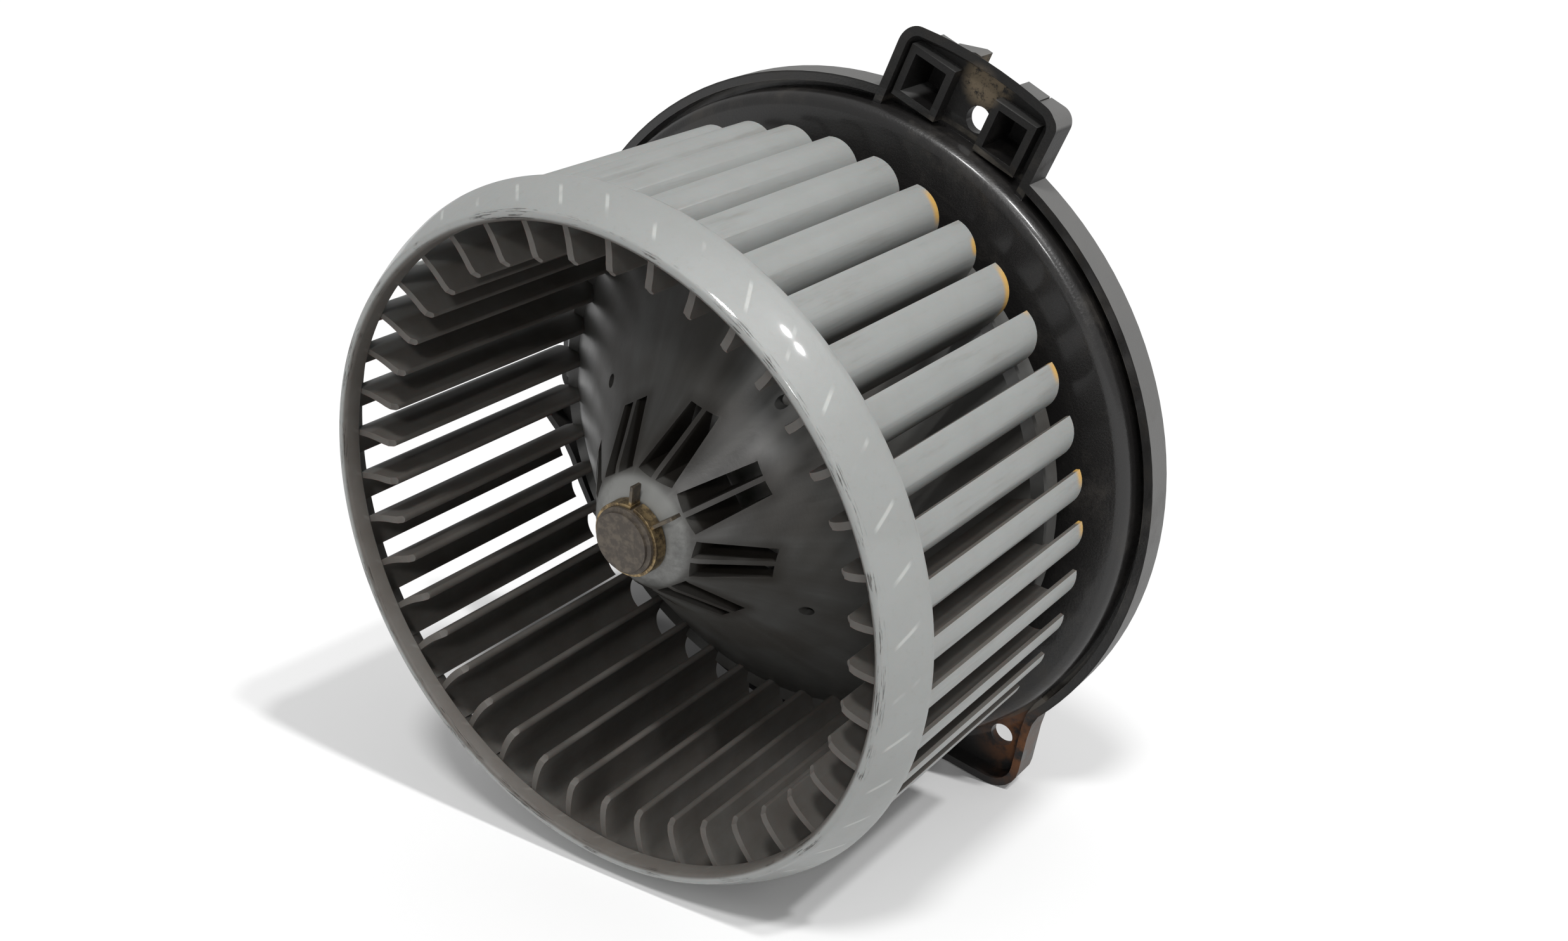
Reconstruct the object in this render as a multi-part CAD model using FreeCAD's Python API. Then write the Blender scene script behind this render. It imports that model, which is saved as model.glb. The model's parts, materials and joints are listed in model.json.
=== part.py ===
"""Cabin blower: fan wheel on its motor, held by a flange with three ears. Millimetres.

The frame: +Y runs along the spin axis from the intake to the flange, +Z is up and +X is right
when looking into the intake. The origin is on the axis, at the seating plane of the ears.
"""
import FreeCAD, Part
import math
import os

# --- driving dimensions -----------------------------------------------------------------------
SEAT = 93.5             # front lip of the ring to the seating plane of the ears
WHEEL_R = 78.5          # outer edge of the blades
BLADE_IN_R = WHEEL_R - 15.3     # inner edge of the blades
BLADE_END = 73.0        # front lip to the free rear ends of the blades
BLADES = 41
BLADE_START = 5.81      # angle of the first blade's outer edge, degrees
BLADE_BEND = 8.8        # how far a blade bows round the wheel
RING_MOUTH_R = WHEEL_R - 5.9    # clear mouth of the ring
RING_FRONT_R = WHEEL_R - 3.5    # outside of the ring at its lip
RING_REAR_R = WHEEL_R + 1.3     # outside of the ring at its rear edge
RING_WALL = 4.5         # depth of the ring in front of the blades
RING_LEN = 10.6         # whole depth of the ring
DISC_R = WHEEL_R - 8.6          # edge of the hub's rear disc
DISC_FACE = 71.9        # front lip to the front of that disc
DISC_T = 1.2
CONE_R = WHEEL_R - 12.0         # where the hub's cone meets the disc
CONE_SHIFT = 8.1        # front lip to the point of the 45 degree inner cone
CONE_WALL = 2.8         # measured along the axis
BOSS_R = 7.8
BOSS_FACE = 12.5        # front lip to the end of the boss
SLOT_IN_R = 13.6
SLOT_OUT_R = 26.0
SLOT_RIB = 1.2          # rib between the two slots of a pair
SLOT_HALF_IN = 4.75     # half the width of a pair at its inner end
SLOT_HALF_OUT = 3.9
DISC_SKIRT = 6.4        # length of the skirt behind the rear disc
SHAFT_R = 4.0
FIT_RUN = 0.04          # radial clearance of the shaft in its bushes
YOKE_R = 27.5
YOKE_T = 1.5
YOKE_FRONT = 42.0       # front lip to the front wall of the yoke
YOKE_REAR = 104.0
CORE_R = 20.0
MAGNET_IN_R = 20.6
FLANGE_R = 87.2         # outside of the flange's rim
RIM_T = 2.1
RIM_FACE = 88.8         # front lip to the front edge of the rim
PLATE_FACE = 84.5       # front lip to the front of the flange's plate
SHOULDER_R = 83.2       # outside of the raised plate
FLANGE_BACK = 96.0
PLATE_T = 2.5
EAR_HOLE_R = 3.0
EAR_PCD_R = 88.5
COLLAR_R = 33.5
COLLAR_BACK = 112.0
COVER_T = 2.5

Y = FreeCAD.Vector(0, 1, 0)
ORIGIN = FreeCAD.Vector(0, 0, 0)


def turn(points):
    """A solid of revolution about the spin axis from (radius, distance behind the lip) points."""
    poly = [FreeCAD.Vector(r, s - SEAT, 0) for r, s in points]
    return Part.Face(Part.makePolygon(poly + poly[:1])).revolve(ORIGIN, Y, 360)


def tube(inner, outer, s0, s1):
    return turn([(inner, s0), (outer, s0), (outer, s1), (inner, s1)])


def rod(r, s0, s1, x=0.0, z=0.0):
    return Part.makeCylinder(r, s1 - s0, FreeCAD.Vector(x, s0 - SEAT, z), Y)


def block(x0, x1, s0, s1, z0, z1):
    return Part.makeBox(x1 - x0, s1 - s0, z1 - z0, FreeCAD.Vector(x0, s0 - SEAT, z0))


def at_angle(shape, degrees):
    """Turn a shape drawn on the +X side counter-clockwise, as seen from the intake."""
    copy = shape.copy()
    copy.rotate(ORIGIN, Y, -degrees)
    return copy


def polar(r, degrees):
    a = math.radians(degrees)
    return r * math.cos(a), r * math.sin(a)


def prism(points, s0, s1):
    """A straight solid from outline points (radial, sideways), the radial side along +X."""
    poly = [FreeCAD.Vector(v, s0 - SEAT, u) for u, v in points]
    return Part.Face(Part.makePolygon(poly + poly[:1])).extrude(FreeCAD.Vector(0, s1 - s0, 0))


def arc(a, b, c):
    return Part.Arc(a, b, c).toShape()


def export(name, shape):
    shape.exportStep("parts/" + name + ".step")


def group(name, shapes):
    export(name, Part.makeCompound(shapes))


os.makedirs("parts", exist_ok=True)

# --- fan ring: mouth, flared band and the skirt that the blades grow into -----------------------
skirt = [
    (RING_FRONT_R + 1.0, RING_WALL),
    (RING_REAR_R - 2.4, 0.66 * RING_LEN),
    (RING_REAR_R - 1.3, RING_LEN),
]
ring = turn([
    (RING_MOUTH_R, 1.1),
    (RING_MOUTH_R + 0.5, 0.25),
    (RING_MOUTH_R + 1.2, 0.0),
    (RING_FRONT_R - 0.5, 0.1),
    (RING_FRONT_R, 0.6),
    (RING_FRONT_R + 1.5, 0.28 * RING_LEN),
    (RING_REAR_R - 1.2, 0.66 * RING_LEN),
    (RING_REAR_R, RING_LEN - 0.4),
    (RING_REAR_R - 0.4, RING_LEN),
] + skirt[::-1] + [(RING_MOUTH_R, RING_WALL)])
export("fan_ring", ring)

# --- fan blades: curved strips, thin at the outer edge, rounded at the inner edge ---------------


def blade_point(along, radius):
    """Section point: distance round the wheel (clockwise) and height above the axis."""
    return FreeCAD.Vector(radius, RING_WALL - SEAT, -along)


span = WHEEL_R - BLADE_IN_R
bend = BLADE_BEND
p_out = blade_point(0.0, WHEEL_R - 0.2)
p_mid = blade_point(bend, WHEEL_R - 0.45 * span)
p_in = blade_point(0.92 * bend, BLADE_IN_R - 0.5)
q_in = blade_point(0.73 * bend, BLADE_IN_R - 0.15)
q_mid = blade_point(bend - 1.4, WHEEL_R - 0.455 * span)
q_out = blade_point(0.0, WHEEL_R - 1.1)
section = Part.Wire([
    arc(p_out, blade_point(0.73 * bend, WHEEL_R - 0.108 * span), p_mid),
    arc(p_mid, blade_point(1.01 * bend, WHEEL_R - 0.74 * span), p_in),
    arc(p_in, blade_point(0.83 * bend, BLADE_IN_R - 0.85), q_in),
    arc(q_in, blade_point(1.01 * bend - 1.65, WHEEL_R - 0.74 * span), q_mid),
    arc(q_mid, blade_point(0.64 * bend, WHEEL_R - 0.163 * span), q_out),
    Part.makeLine(q_out, p_out),
])
strip = Part.Face(section).extrude(FreeCAD.Vector(0, BLADE_END - RING_WALL, 0))
front_edge = turn([
    (BLADE_IN_R - 3.0, 0.0),
    (RING_MOUTH_R - 0.1, 0.0),
    (RING_MOUTH_R - 0.1, RING_WALL),
    (BLADE_IN_R + 0.30 * span, RING_WALL + 0.35),
    (BLADE_IN_R + 0.15 * span, RING_WALL + 0.55),
    (BLADE_IN_R + 0.06 * span, RING_WALL + 0.95),
    (BLADE_IN_R + 0.01 * span, RING_WALL + 1.9),
    (BLADE_IN_R - 3.0, RING_WALL + 3.4),
])
under_ring = turn([(RING_REAR_R + 1, RING_LEN), (RING_REAR_R + 1, 3.0), (skirt[0][0], 3.0)] + skirt)
mid_r = SLOT_OUT_R + 0.6
behind_cone = turn([
    (mid_r, mid_r + CONE_SHIFT),
    (CONE_R, DISC_FACE),
    (DISC_R, DISC_FACE),
    (DISC_R, BLADE_END + 1.0),
    (mid_r, BLADE_END + 1.0),
])
blade = strip.cut(front_edge).cut(under_ring).cut(behind_cone)
group("fan_blades", [at_angle(blade, BLADE_START + i * 360.0 / BLADES) for i in range(BLADES)])

# --- motor shaft: ground rod with a flat at the wheel end ---------------------------------------
shaft_front = BOSS_FACE + 2.2
shaft_rear = YOKE_REAR + 5.0
flat = block(SHAFT_R - 1.0, SHAFT_R + 1.0, shaft_front - 1, shaft_front + 19, -SHAFT_R - 1, SHAFT_R + 1)
shaft = rod(SHAFT_R, shaft_front, shaft_rear).cut(flat)
export("motor_shaft", shaft)

# --- fan hub: cone, rear disc, slotted neck and the boss that grips the shaft -------------------
neck_r = BOSS_R + 1.7
hub = turn([
    (0.0, BOSS_FACE),
    (BOSS_R - 0.9, BOSS_FACE),
    (BOSS_R - 0.9, BOSS_FACE + 0.7),
    (BOSS_R, BOSS_FACE + 1.0),
    (BOSS_R, neck_r + CONE_SHIFT),
    (neck_r, neck_r + CONE_SHIFT),
    (SLOT_IN_R - 1.0, SLOT_IN_R - 1.0 + CONE_SHIFT - 1.6),
    (SLOT_IN_R + 1.5, SLOT_IN_R + 1.5 + CONE_SHIFT - 1.9),
    (SLOT_IN_R + 6.4, SLOT_IN_R + 6.4 + CONE_SHIFT - 1.0),
    (mid_r, mid_r + CONE_SHIFT),
    (CONE_R, DISC_FACE),
    (DISC_R, DISC_FACE),
    (DISC_R, DISC_FACE + DISC_T),
    (DISC_R - 0.9, DISC_FACE + DISC_T),
    (DISC_R - 0.9, DISC_FACE + DISC_T + DISC_SKIRT),
    (DISC_R - 2.4, DISC_FACE + DISC_T + DISC_SKIRT),
    (DISC_R - 2.4, DISC_FACE + DISC_T),
    (CONE_R - 1.0, DISC_FACE + DISC_T),
    (SLOT_OUT_R + 3.5, SLOT_OUT_R + 3.5 + CONE_SHIFT + CONE_WALL),
    (SLOT_OUT_R - 2.0, SLOT_OUT_R - 2.0 + CONE_SHIFT + 1.6 * CONE_WALL),
    (BOSS_R + 2.4, BOSS_R + 2.4 + CONE_SHIFT + 3.4 * CONE_WALL),
    (BOSS_R + 1.2, YOKE_FRONT - 9.0),
    (SHAFT_R, YOKE_FRONT - 9.0),
    (SHAFT_R, YOKE_FRONT - 12.0),
    (0.0, YOKE_FRONT - 12.0),
])
hub = hub.cut(shaft)
wall_back = SLOT_OUT_R + CONE_SHIFT + 2.6
wall_in = SLOT_IN_R - 1.8
wall_out = SLOT_OUT_R + 1.8
behind = turn([
    (wall_in, wall_in + CONE_SHIFT + 0.5), (wall_out, wall_out + CONE_SHIFT + 0.5),
    (wall_out, wall_back), (wall_in, wall_back),
])
half_w = SLOT_HALF_IN + 1.2
for i in range(8):
    walls = block(wall_in, wall_out, wall_in, wall_back, -half_w, half_w)
    hub = hub.fuse(at_angle(walls, 25 + 45 * i).common(behind))
slot_plan = [
    (0.5 * SLOT_RIB, SLOT_IN_R), (SLOT_HALF_IN, SLOT_IN_R),
    (SLOT_HALF_OUT, SLOT_OUT_R), (0.5 * SLOT_RIB, SLOT_OUT_R),
]
slots = []
for i in range(8):
    for side in (-1, 1):
        one = prism([(side * u, v) for u, v in slot_plan], 0, YOKE_FRONT)
        slots.append(at_angle(one, 25 + 45 * i))
for i in range(4):
    slots.append(at_angle(rod(1.4, 0, DISC_FACE, 1.34 * SLOT_OUT_R, 0), 47 + 90 * i))
hub = hub.cut(Part.makeCompound(slots))
export("fan_hub", hub)

# --- hub clamp: spring band round the boss, ends bent out as two tangs --------------------------
clamp_front = BOSS_FACE + 1.7
clamp_rear = neck_r + CONE_SHIFT - 0.2
band = tube(BOSS_R, BOSS_R + 0.8, clamp_front, clamp_rear)
gap = prism([(-0.4, 12.0), (0.4, 12.0), (0.4, 0.0), (-0.4, 0.0)], clamp_front - 1, clamp_rear + 1)
band = band.cut(at_angle(gap, 69.0))
tangs = []
for angle, tip in ((75.7, 13.0), (28.0, 15.4)):
    tang = block(BOSS_R, tip, clamp_front + 0.4, clamp_rear, -0.4, 0.4)
    tangs.append(at_angle(tang, angle))
clamp = band.fuse(tangs)
keep = rod(BOSS_R + 20, 0, 200).cut(rod(BOSS_R, -10, 200))
clamp = clamp.common(keep).removeSplitter()
export("hub_clamp", clamp)

# --- armature: slotted stack, its winding, commutator and washers -------------------------------
core_front = YOKE_FRONT + 14.0
core_rear = core_front + 30.0
pocket_r = 0.66 * CORE_R
core = tube(SHAFT_R, CORE_R, core_front, core_rear)
pockets = []
bars = []
for i in range(12):
    px, pz = polar(pocket_r, 30 * i)
    pockets.append(rod(2.6, core_front - 1, core_rear + 1, px, pz))
    mouth = block(pocket_r, CORE_R + 1, core_front - 1, core_rear + 1, -0.8, 0.8)
    pockets.append(at_angle(mouth, 30 * i))
    bars.append(rod(2.4, core_front - 2, core_rear + 2, px, pz))
core = core.cut(Part.makeCompound(pockets))
export("armature_core", core)


def end_turns(s0, s1):
    return turn([
        (8.4, s0 + 1.2), (9.8, s0), (15.6, s0), (17.4, s0 + 1.4), (17.4, s1 - 0.9), (16.2, s1), (8.4, s1),
    ])


winding = end_turns(core_front - 5.6, core_front - 0.3)
winding = winding.fuse(turn([
    (8.4, core_rear + 0.3), (16.2, core_rear + 0.3), (17.4, core_rear + 1.2), (17.4, core_rear + 3.8),
    (15.6, core_rear + 5.2), (9.8, core_rear + 5.2), (8.4, core_rear + 4.0),
]))
winding = winding.fuse(bars)
export("armature_windings", winding)

comm_front = core_rear + 6.6
comm_rear = YOKE_REAR - 2.4
export("commutator_hub", tube(SHAFT_R, 7.0, comm_front, comm_rear))
copper = tube(7.0, 11.5, comm_front, comm_rear)
cuts = [at_angle(block(6.0, 13.0, comm_front - 1, comm_rear + 1, -0.3, 0.3), 15 + 30 * i) for i in range(12)]
segments = copper.cut(Part.makeCompound(cuts))
group("commutator_bars", segments.Solids)
group("thrust_washers", [
    tube(SHAFT_R, 6.6, YOKE_FRONT + 5.2, YOKE_FRONT + 6.0),
    tube(SHAFT_R, 6.6, comm_rear, comm_rear + 0.7),
])

# --- motor yoke: deep-drawn can with a nose for the front bush and a rear flange ----------------
bush_r = 7.3
nose_front = YOKE_FRONT - 6.0
yoke = turn([
    (5.2, nose_front),
    (bush_r + 1.5, nose_front),
    (bush_r + 1.5, YOKE_FRONT),
    (YOKE_R - 2.5, YOKE_FRONT),
    (YOKE_R - 0.7, YOKE_FRONT + 0.8),
    (YOKE_R, YOKE_FRONT + 2.5),
    (YOKE_R, YOKE_REAR - 1.6),
    (YOKE_R + 5.5, YOKE_REAR - 1.6),
    (YOKE_R + 5.5, YOKE_REAR),
    (YOKE_R - YOKE_T, YOKE_REAR),
    (YOKE_R - YOKE_T, YOKE_FRONT + YOKE_T + 1.2),
    (YOKE_R - YOKE_T - 1.2, YOKE_FRONT + YOKE_T),
    (bush_r, YOKE_FRONT + YOKE_T),
    (bush_r, nose_front + 1.2),
    (5.2, nose_front + 1.2),
])
vents = [at_angle(rod(2.6, YOKE_FRONT - 2, YOKE_FRONT + 4, 17.5, 0), 45 + 90 * i) for i in range(4)]
screw_spots = [polar(YOKE_R + 2.9, 45 + 90 * i) for i in range(4)]
holes = [rod(1.5, YOKE_REAR - 3, YOKE_REAR + 3, x, z) for x, z in screw_spots]
export("motor_yoke", yoke.cut(Part.makeCompound(vents + holes)))

# --- field magnets and the springs between them -------------------------------------------------
shell = tube(MAGNET_IN_R, YOKE_R - YOKE_T, core_front - 4, core_rear + 4)
half = math.radians(62.5)
wedge = prism([
    (0.0, 0.0),
    (-40 * math.sin(half), 40 * math.cos(half)),
    (-40, 60),
    (40, 60),
    (40 * math.sin(half), 40 * math.cos(half)),
], core_front - 5, core_rear + 5)
magnet = shell.common(wedge)
group("field_magnets", [magnet, at_angle(magnet, 180)])
clip = tube(YOKE_R - YOKE_T - 0.8, YOKE_R - YOKE_T, core_front, core_rear)
clip = clip.common(prism([(0, 0), (-14, 30), (14, 30)], core_front - 1, core_rear + 1))
leg = block(MAGNET_IN_R + 0.8, YOKE_R - YOKE_T - 0.4, core_front, core_rear, -0.4, 0.4)
legs = [at_angle(leg, a) for a in (-23.0, 23.0)]
clip = clip.fuse(legs).removeSplitter()
group("magnet_springs", [at_angle(clip, 90), at_angle(clip, 270)])

# --- bushes, and the spring retainers that hold them in their noses -----------------------------
bush_front = nose_front + 1.2


def bush(s0, s1):
    body = turn([
        (SHAFT_R + FIT_RUN, s0), (bush_r - 1.2, s0), (bush_r, s0 + 1.6),
        (bush_r, s1 - 1.6), (bush_r - 1.2, s1), (SHAFT_R + FIT_RUN, s1),
    ])
    return body


export("front_bearing", bush(bush_front, bush_front + 7.6))
rear_bush = YOKE_REAR - 0.2
export("rear_bearing", bush(rear_bush, rear_bush + 6.6))
lip = bush_front + 7.6
front_clip = turn([
    (5.0, lip), (bush_r - 1.2, lip), (9.6, YOKE_FRONT + YOKE_T), (13.0, YOKE_FRONT + YOKE_T),
    (13.0, YOKE_FRONT + YOKE_T + 0.6), (9.9, YOKE_FRONT + YOKE_T + 0.6), (6.3, lip + 0.6), (5.0, lip + 0.6),
])
rear_clip = tube(5.0, 12.0, YOKE_REAR - 0.8, YOKE_REAR - 0.2).fuse(tube(8.6, 12.0, YOKE_REAR - 0.8, YOKE_REAR))
group("bearing_retainers", [front_clip, rear_clip.removeSplitter()])

# --- end bracket: pressed plate with the rear nose, held by four screws -------------------------
bracket_back = YOKE_REAR + 1.5
bracket = turn([
    (bush_r, YOKE_REAR),
    (YOKE_R + 5.5, YOKE_REAR),
    (YOKE_R + 5.5, bracket_back),
    (bush_r + 1.5, bracket_back),
    (bush_r + 1.5, YOKE_REAR + 7.6),
    (0.0, YOKE_REAR + 7.6),
    (0.0, YOKE_REAR + 6.4),
    (bush_r, YOKE_REAR + 6.4),
])
window = block(-10.5, 10.5, YOKE_REAR - 1, bracket_back + 1, -21.6, -16.6)
bracket = bracket.cut(Part.makeCompound(holes + [window]))
export("end_bracket", bracket)
group("bracket_screws", [
    rod(1.5, YOKE_REAR - 1.6, bracket_back, x, z).fuse(rod(2.5, bracket_back, bracket_back + 1.8, x, z))
    for x, z in screw_spots
])

# --- brush gear: plate, boxes, brushes, springs, chokes and leads -------------------------------
plate_front = YOKE_REAR - 2.9
plate_rear = plate_front + 2.2
brush_rear = plate_front - 0.6
brush_front = brush_rear - 5.8
brush_plate = tube(13.2, YOKE_R - YOKE_T - 0.1, plate_front, plate_rear)
terminal_cuts = [block(x - 3.15, x + 3.15, plate_front - 1, plate_rear + 1, -19.5, -18.7) for x in (-5.7, 5.7)]
export("brush_plate", brush_plate.cut(Part.makeCompound(terminal_cuts)))

box_out = YOKE_R - YOKE_T - 1.2
box = block(13.6, box_out, brush_front - 0.7, plate_front, -4.6, 4.6)
box = box.cut(block(13.0, box_out - 0.6, brush_front - 0.1, brush_rear + 0.1, -4.1, 4.1))
brush = block(11.9, 20.4, brush_front, brush_rear, -4.0, 4.0)
group("brush_boxes", [box, at_angle(box, 180)])
export("brush_right", brush)
export("brush_left", at_angle(brush, 180))


def coil_spring(x0, x1, r, wire):
    """A helical spring with its axis along +X, level with the brushes."""
    length = x1 - x0 - wire
    helix = Part.makeHelix(length / 3.0, length, r)
    start = FreeCAD.Vector(r, 0, 0)
    circle = Part.makeCircle(0.5 * wire, start, FreeCAD.Vector(0, 1, 0))
    body = Part.Wire(helix).makePipeShell([Part.Wire(circle)], True, True)
    body.rotate(ORIGIN, FreeCAD.Vector(0, 0, 1), 90)
    body.rotate(ORIGIN, FreeCAD.Vector(0, 1, 0), 90)
    body.translate(FreeCAD.Vector(x0 + 0.5 * wire, 0.5 * (brush_front + brush_rear) - SEAT, 0))
    return body


spring = coil_spring(20.45, box_out - 0.65, 2.1, 0.5)
export("brush_spring_right", spring)
export("brush_spring_left", at_angle(spring, 180))

choke_y = plate_front - 2.7
chokes = []
for z in (-15.6, 17.5):
    base = FreeCAD.Vector(-6.5, choke_y - SEAT, z)
    body = Part.makeCylinder(1.4, 13.0, base, FreeCAD.Vector(1, 0, 0))
    coil = Part.makeCylinder(2.5, 9.0, base + FreeCAD.Vector(2, 0, 0), FreeCAD.Vector(1, 0, 0))
    chokes.append(body.fuse(coil).removeSplitter())
group("choke_coils", chokes)

# two blades stand through the plate, the bracket's window and the cover into the connector
cover_face = COLLAR_BACK
blade_end = cover_face + COVER_T + 9.5
terminals = [block(x - 3.15, x + 3.15, plate_front - 1.0, blade_end, -19.5, -18.7) for x in (-5.7, 5.7)]
group("terminals", terminals)


def lead(points, r):
    """A bent wire along points given as (x, distance behind the lip, z)."""
    path = [FreeCAD.Vector(x, s - SEAT, z) for x, s, z in points]
    body = None
    for a, b in zip(path[:-1], path[1:]):
        piece = Part.makeCylinder(r, (b - a).Length, a, b - a).fuse(Part.makeSphere(r, b))
        body = piece if body is None else body.fuse(piece)
    return body.removeSplitter()


wire_s = plate_front - 0.9
right_lead = lead([(17.0, wire_s, -5.4), (16.6, wire_s, -9.0), (11.4, wire_s, -19.1), (9.6, wire_s, -19.1)], 0.75)
group("brush_leads", [right_lead, right_lead.mirror(ORIGIN, FreeCAD.Vector(1, 0, 0))])

# --- rubber rings between the motor, the collar and the cover ------------------------------------
collar_in = COLLAR_R - 2.5
shoulder = YOKE_REAR - 7.0
rear_in = YOKE_R + 6.5
export("front_rubber_ring", tube(YOKE_R, collar_in, 74.0, 80.0))
export("rear_rubber_ring", tube(YOKE_R, rear_in, shoulder, YOKE_REAR - 1.6))
export("cover_rubber_ring", tube(22.6, 26.6, bracket_back, bracket_back + 3.0))

# --- mounting flange: plate, edge channel, ears, sockets and motor collar ------------------------
SCREW_R = 40.5
flange = turn([
    (collar_in - 2.4, 72.0),
    (COLLAR_R, 72.0),
    (COLLAR_R, PLATE_FACE - 2.0),
    (COLLAR_R + 2.0, PLATE_FACE),
    (SHOULDER_R - 3.0, PLATE_FACE),
    (SHOULDER_R - 1.3, PLATE_FACE + 0.45),
    (SHOULDER_R - 0.35, PLATE_FACE + 1.4),
    (SHOULDER_R, PLATE_FACE + 2.9),
    (SHOULDER_R, SEAT),
    (FLANGE_R - RIM_T, SEAT),
    (FLANGE_R - RIM_T, RIM_FACE),
    (FLANGE_R, RIM_FACE),
    (FLANGE_R, FLANGE_BACK),
    (SHOULDER_R - 2.5, FLANGE_BACK),
    (SHOULDER_R - 2.5, PLATE_FACE + PLATE_T),
    (rear_in + 2.5, PLATE_FACE + PLATE_T),
    (rear_in + 2.5, COLLAR_BACK),
    (rear_in, COLLAR_BACK),
    (rear_in, shoulder),
    (collar_in, shoulder),
    (collar_in, 74.0),
    (collar_in - 2.4, 74.0),
])


def ear_outline(kind, inset):
    """Half-outline points (sideways, radial) of an ear; inset gives the pocket inside its rim."""
    if kind == "corner":
        return [
            (-4.6, 80), (0.7 + inset, 84), (0.7 + inset, 89.1), (4.4 + inset, 97.1), (5.2 + inset, 98.9 - inset),
            (8.7 - 0.3 * inset, 98.9 - inset), (12.9 - 0.7 * inset, 95.5 - 0.7 * inset),
            (16.6 - 0.6 * inset, 92.4 - 0.8 * inset), (22.1, 89.9 - inset), (29.6, 87.7 - inset),
            (36.6, 85.0 - inset), (39.5, 82.4 - inset), (42.0, 76.6 - inset), (20.0, 72),
        ]
    right = []
    tip = 8.2 - inset
    for k in range(0, 4):
        a = math.radians(90 - 15 * k)
        right.append((tip * math.cos(a), 91.5 + tip * math.sin(a)))
    shift = 1.414 * inset
    right += [(13.4, 89.7 - shift), (16.6, 87.0 - shift), (20.2, 85.2 - shift), (24.4, 83.6 - shift), (22.0, 78)]
    left = [(-u, v) for u, v in reversed(right[1:])]
    return left + right


def round_ear(kind, middle):
    """An ear with a rim round an open pocket: returns what is added and what is taken away."""
    skin = [(u + middle, v) for u, v in ear_outline(kind, 0.0)]
    pocket = [(u + middle, v) for u, v in ear_outline(kind, RIM_T)]
    return prism(skin, RIM_FACE, FLANGE_BACK), prism(pocket, RIM_FACE - 1, SEAT)


def socket_ear():
    """The wide ear: straight sides, leaning outer wall, pocket and two square sockets."""
    mid = 2.0
    wide = 21.0
    lean = 0.47
    outer = 102.8
    depth = FLANGE_BACK - RIM_FACE
    skin = block(78, 110, RIM_FACE, FLANGE_BACK, mid - wide, mid + wide)
    base = FreeCAD.Vector(0, RIM_FACE - SEAT, 0)
    skin = skin.common(Part.makeCone(outer, outer - lean * depth, depth, base, Y))
    pocket = block(78, 110, RIM_FACE - 1, SEAT, mid - wide + RIM_T, mid + wide - RIM_T)
    inner = outer - RIM_T
    base = FreeCAD.Vector(0, RIM_FACE - 1 - SEAT, 0)
    pocket = pocket.common(Part.makeCone(inner + lean, inner - lean * 4.7, SEAT - RIM_FACE + 1, base, Y))
    skin = round_corners(skin, 5.0)
    pocket = round_corners(pocket, 3.0)
    return skin, pocket


def round_corners(shape, radius):
    """Round the two outer corner edges of an ear, those farthest from the axis."""
    picked = []
    for edge in shape.Edges:
        a = edge.Vertexes[0].Point
        b = edge.Vertexes[-1].Point
        deep = abs(a.y - b.y) > 3
        far = min(math.hypot(a.x, a.z), math.hypot(b.x, b.z)) > 90
        if deep and far:
            picked.append(edge)
    return shape.makeFillet(radius, picked)


socket_skin, socket_pocket = socket_ear()
corner = block(92, 101.0, RIM_FACE, FLANGE_BACK, -19.0, -12.0)
corner = corner.makeFillet(3.5, [e for e in corner.Edges if abs(e.Vertexes[0].Z + 19) + abs(e.Vertexes[-1].Z + 19)
                                 + abs(e.Vertexes[0].X - 101) + abs(e.Vertexes[-1].X - 101) < 0.01])
hook = prism([(4.5, 97.0), (4.5, 102.0), (6.0, 102.0), (12.5, 99.6), (12.5, 97.0)], RIM_FACE + 2.2, FLANGE_BACK)
step = prism([(-12.0, 97.0), (-12.0, 101.4), (-6.2, 101.6), (-6.2, 97.0)], RIM_FACE + 1.0, FLANGE_BACK - 1.0)
socket_skin = socket_skin.fuse([corner, hook, step])
sockets = []
wells = []
for u0, u1 in ((-14.4, -3.05), (8.0, 20.1)):
    sockets.append(block(83.6, 96.2, RIM_FACE + 1.2, FLANGE_BACK + 7, u0, u1))
    wells.append(block(85.4, 94.6, RIM_FACE, FLANGE_BACK + 5.5, u0 + 1.8, u1 - 1.8))

ears = [(socket_skin, socket_pocket, 60)]
for kind, middle, angle in (("round", -2.7, -60), ("corner", 0.0, 180)):
    skin, pocket = round_ear(kind, middle)
    ears.append((skin, pocket, angle))

keep_out = rod(SHOULDER_R, RIM_FACE - 2, FLANGE_BACK + 2)
for skin, pocket, angle in ears:
    flange = flange.fuse(at_angle(skin.cut(keep_out), angle))
for skin, pocket, angle in ears:
    flange = flange.cut(at_angle(pocket.cut(keep_out), angle))
tab = rod(5.0, SEAT, FLANGE_BACK, EAR_PCD_R, 0).cut(keep_out)
flange = flange.fuse(at_angle(tab, 180))
flange = flange.fuse([at_angle(s.cut(keep_out), 60) for s in sockets])
flange = flange.cut(Part.makeCompound([at_angle(w, 60) for w in wells]))
hole = rod(EAR_HOLE_R, SEAT - 6, FLANGE_BACK + 9, EAR_PCD_R, 0)
flange = flange.cut(Part.makeCompound([at_angle(hole, a) for a in (60, -60, 180)]))

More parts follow.
